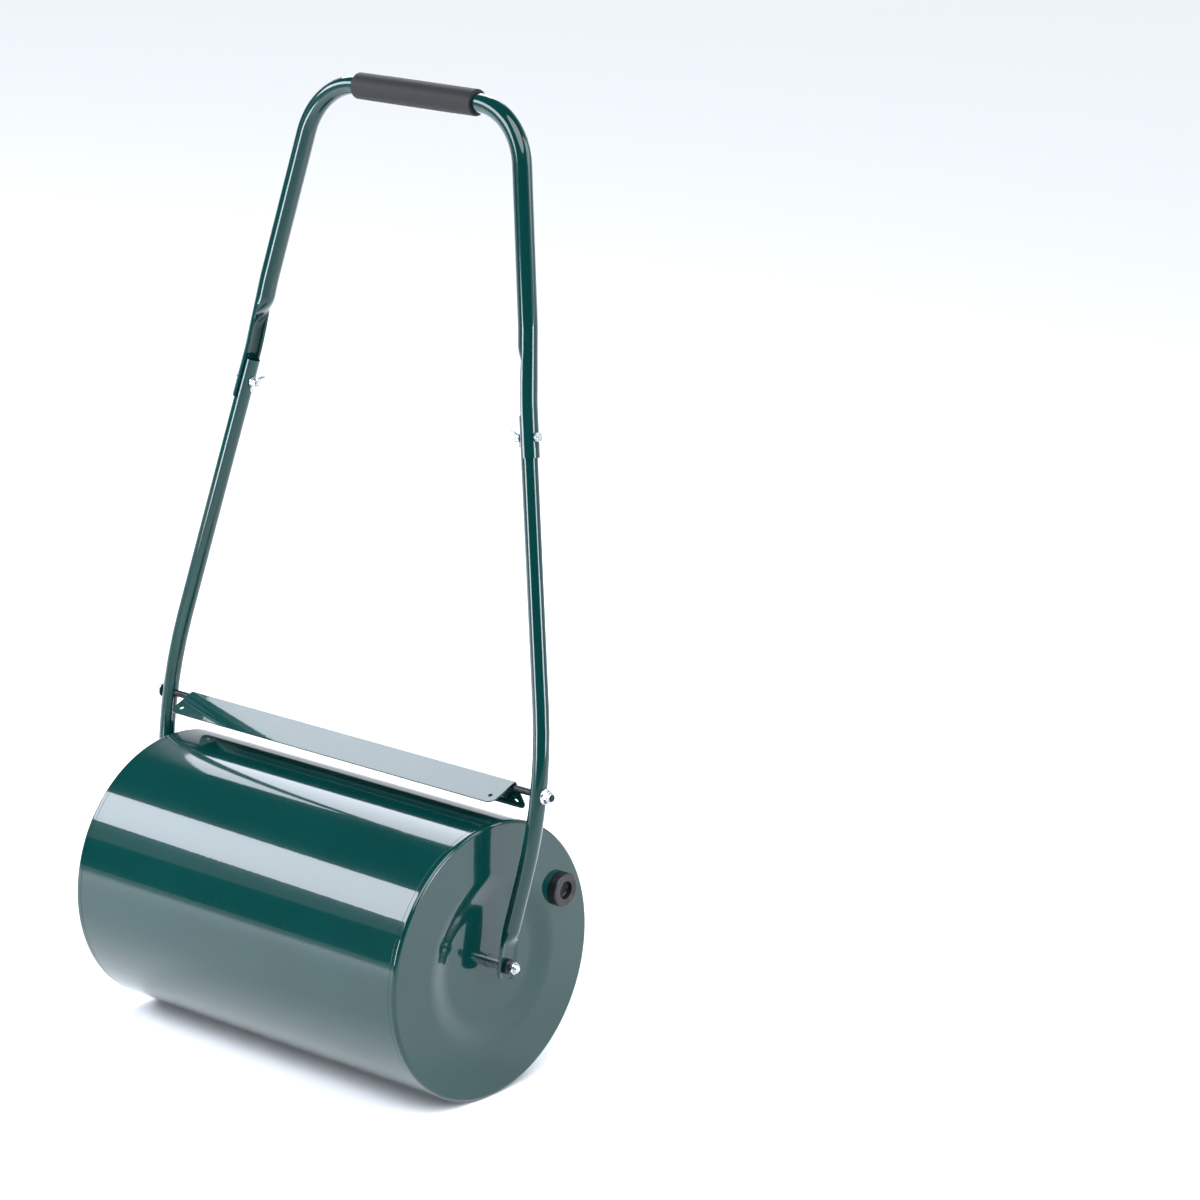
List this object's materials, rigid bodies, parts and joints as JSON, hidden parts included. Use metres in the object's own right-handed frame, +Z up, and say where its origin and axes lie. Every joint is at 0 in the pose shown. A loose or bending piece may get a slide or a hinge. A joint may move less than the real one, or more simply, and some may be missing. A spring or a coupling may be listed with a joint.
{
  "type": "lawn roller",
  "caption": "Hand-pushed lawn roller: a hollow steel drum with a filler plug, a bolted tubular push handle with a foam grip, and a folded scraper on a tie rod.",
  "frame": {"origin": "on the ground under the middle of the drum", "axes": "+Z up, X along the drum's axle with the filler plug at the +X end, and the handle leans towards +Y"},
  "size_m": [0.6164, 0.32, 1.0946],
  "materials": {
    "green_enamel": "gloss bottle-green powder coat",
    "zinc": "bright zinc plate",
    "bare_steel": "mill finish",
    "foam": "matt closed-cell foam",
    "plug_rubber": "satin moulded rubber",
    "black_nylon": "satin moulded nylon",
    "black_oxide": "black oxide"
  },
  "bodies": {
    "frame": {"upper_handle": "green_enamel", "foam_grip": "foam", "lower_arm_right": "green_enamel", "lower_arm_left": "green_enamel", "axle_bush_right": "black_nylon", "axle_bush_left": "black_nylon", "tie_rod": "black_oxide", "tie_rod_nut_right": "zinc", "tie_rod_nut_left": "zinc", "joint_bolt_right": "zinc", "joint_bolt_left": "zinc", "joint_washer_right": "zinc", "joint_washer_left": "zinc"},
    "drum": {"drum_shell": "green_enamel", "end_disc_right": "green_enamel", "end_disc_left": "green_enamel", "hub_plate_right": "bare_steel", "hub_plate_left": "bare_steel", "axle_stub_right": "zinc", "axle_stub_left": "zinc", "axle_nut_right": "zinc", "axle_nut_left": "zinc"},
    "plug": {"filler_plug": "plug_rubber"},
    "scraper": {"scraper_sheet": "green_enamel", "scraper_lug_right": "green_enamel", "scraper_lug_left": "green_enamel"},
    "wing_nut_right": {"wing_nut_right": "zinc"},
    "wing_nut_left": {"wing_nut_left": "zinc"}
  },
  "joints": [
    {"name": "drum_roll", "type": "hinge", "parent": "frame", "child": "drum", "pos_m": [0, 0, 0.16], "axis": [1, 0, 0], "continuous": true},
    {"name": "plug_pull", "type": "slide", "parent": "drum", "child": "plug", "axis": [1, 0, 0], "range_m": [0, 0.035]},
    {"name": "scraper_swing", "type": "hinge", "parent": "frame", "child": "scraper", "pos_m": [0, 0.03065, 0.3546], "axis": [1, 0, 0], "range_deg": [-31, 51]},
    {"name": "wing_nut_right_spin", "type": "hinge", "parent": "frame", "child": "wing_nut_right", "pos_m": [0.2156, 0.09023, 0.73294], "axis": [0.9785, 0.0321, 0.2035], "continuous": true},
    {"name": "wing_nut_left_spin", "type": "hinge", "parent": "frame", "child": "wing_nut_left", "pos_m": [-0.2156, 0.09023, 0.73294], "axis": [-0.9785, 0.0321, 0.2035], "continuous": true}
  ]
}
